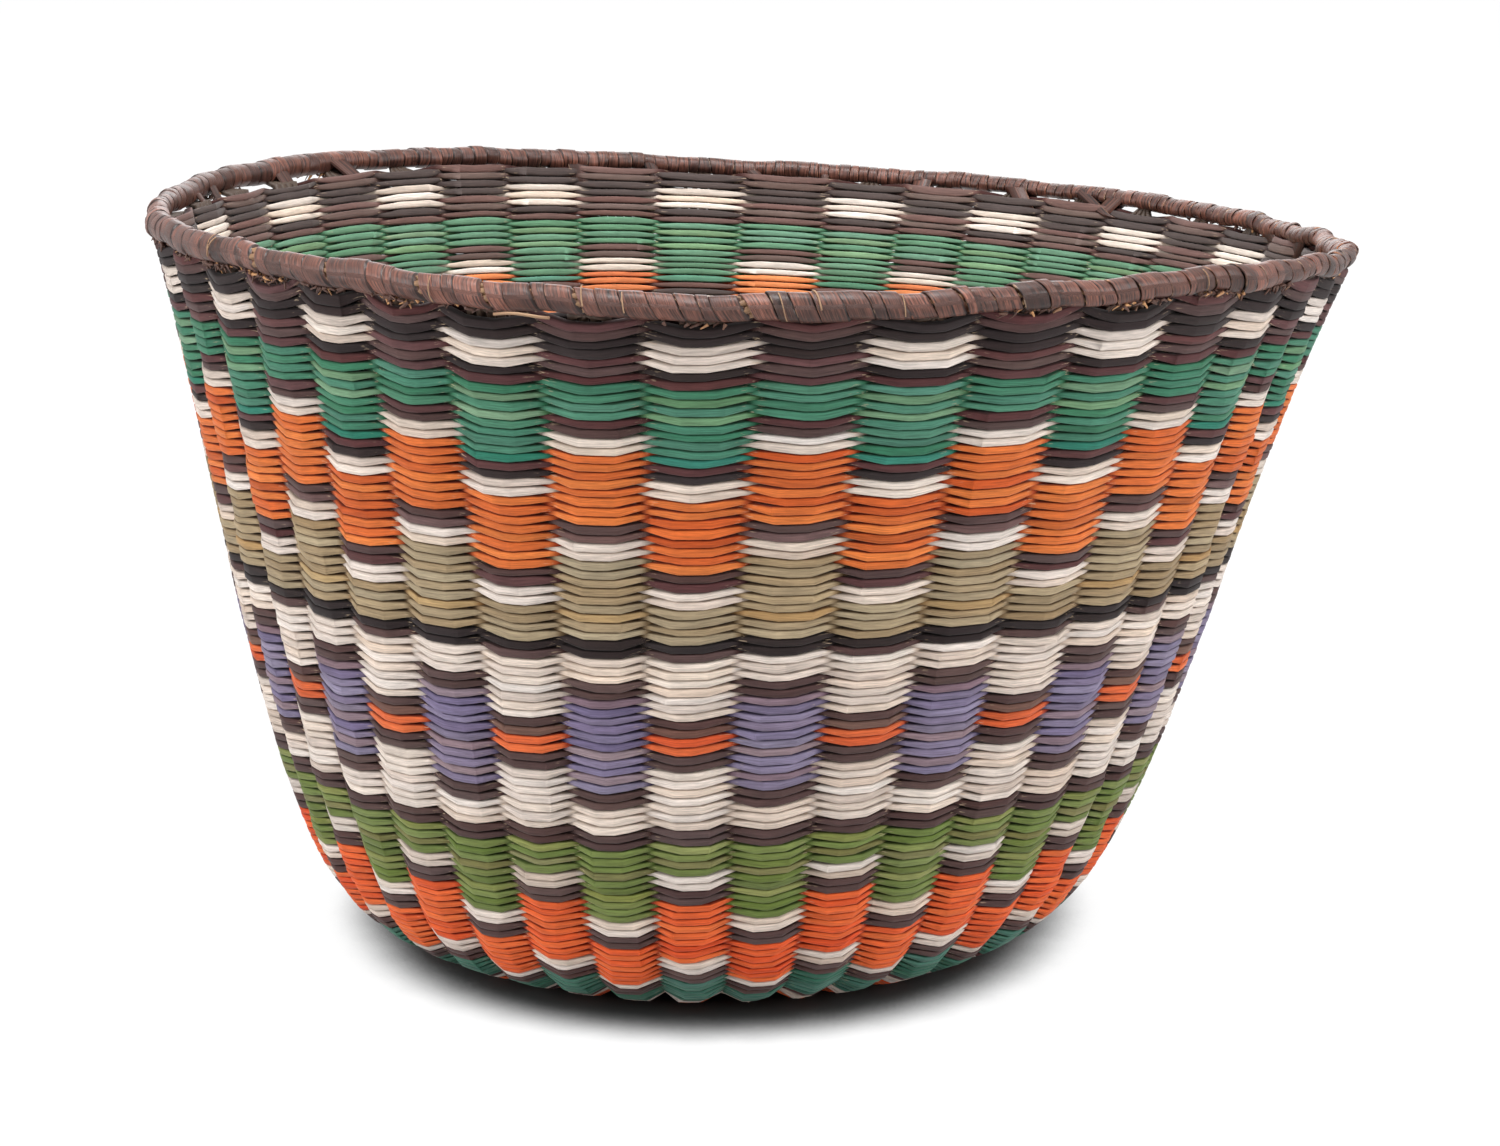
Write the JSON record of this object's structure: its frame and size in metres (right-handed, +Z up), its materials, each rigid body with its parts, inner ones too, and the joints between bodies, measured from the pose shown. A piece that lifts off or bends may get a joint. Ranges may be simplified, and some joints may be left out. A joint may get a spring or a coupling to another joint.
{
  "type": "wicker basket",
  "caption": "Round flaring wicker basket of dyed stems woven over upright stakes in banded blocks, with a bound rim, an open mouth and a flat base.",
  "frame": {"origin": "on the floor under the middle of the rim", "axes": "+Z up, the side shown in the picture towards -Y, +X to its right"},
  "size_m": [0.4574, 0.4574, 0.2869],
  "materials": {
    "weft_border": "matte dyed stems, woven",
    "weft_green": "matte dyed stems, woven",
    "weft_orange": "matte dyed stems, woven",
    "weft_khaki": "matte dyed stems, woven",
    "weft_violet": "matte dyed stems, woven",
    "weft_lower_green": "matte dyed stems, woven",
    "weft_red": "matte dyed stems, woven",
    "weft_foot": "matte dyed stems, woven",
    "base_weft": "matte undyed stems, woven",
    "base_start": "matte undyed stems, plaited",
    "bent_stems": "matte peeled stems",
    "leaf_strip": "satin brown leaf strip, worn along its edges",
    "peeled_stems": "matte peeled stems"
  },
  "bodies": {
    "root": {"weft_border": "weft_border", "weft_green": "weft_green", "weft_orange": "weft_orange", "weft_khaki": "weft_khaki", "weft_violet": "weft_violet", "weft_lower_green": "weft_lower_green", "weft_red": "weft_red", "weft_foot": "weft_foot", "base_weft": "base_weft", "base_start": "base_start", "rim_core": "bent_stems", "rim_binding": "leaf_strip", "stake_01": "peeled_stems", "stake_02": "peeled_stems", "stake_03": "peeled_stems", "stake_04": "peeled_stems", "stake_05": "peeled_stems", "stake_06": "peeled_stems", "stake_07": "peeled_stems", "stake_08": "peeled_stems", "stake_09": "peeled_stems", "stake_10": "peeled_stems", "stake_11": "peeled_stems", "stake_12": "peeled_stems", "stake_13": "peeled_stems", "stake_14": "peeled_stems", "stake_15": "peeled_stems", "stake_16": "peeled_stems", "stake_17": "peeled_stems", "stake_18": "peeled_stems", "stake_19": "peeled_stems", "stake_20": "peeled_stems", "stake_21": "peeled_stems", "stake_22": "peeled_stems", "stake_23": "peeled_stems", "stake_24": "peeled_stems", "stake_25": "peeled_stems", "stake_26": "peeled_stems", "stake_27": "peeled_stems", "stake_28": "peeled_stems", "stake_29": "peeled_stems", "stake_30": "peeled_stems", "stake_31": "peeled_stems", "stake_32": "peeled_stems", "stake_33": "peeled_stems", "stake_34": "peeled_stems", "stake_35": "peeled_stems", "stake_36": "peeled_stems", "stake_37": "peeled_stems", "stake_38": "peeled_stems", "stake_39": "peeled_stems", "stake_40": "peeled_stems"}
  },
  "joints": []
}
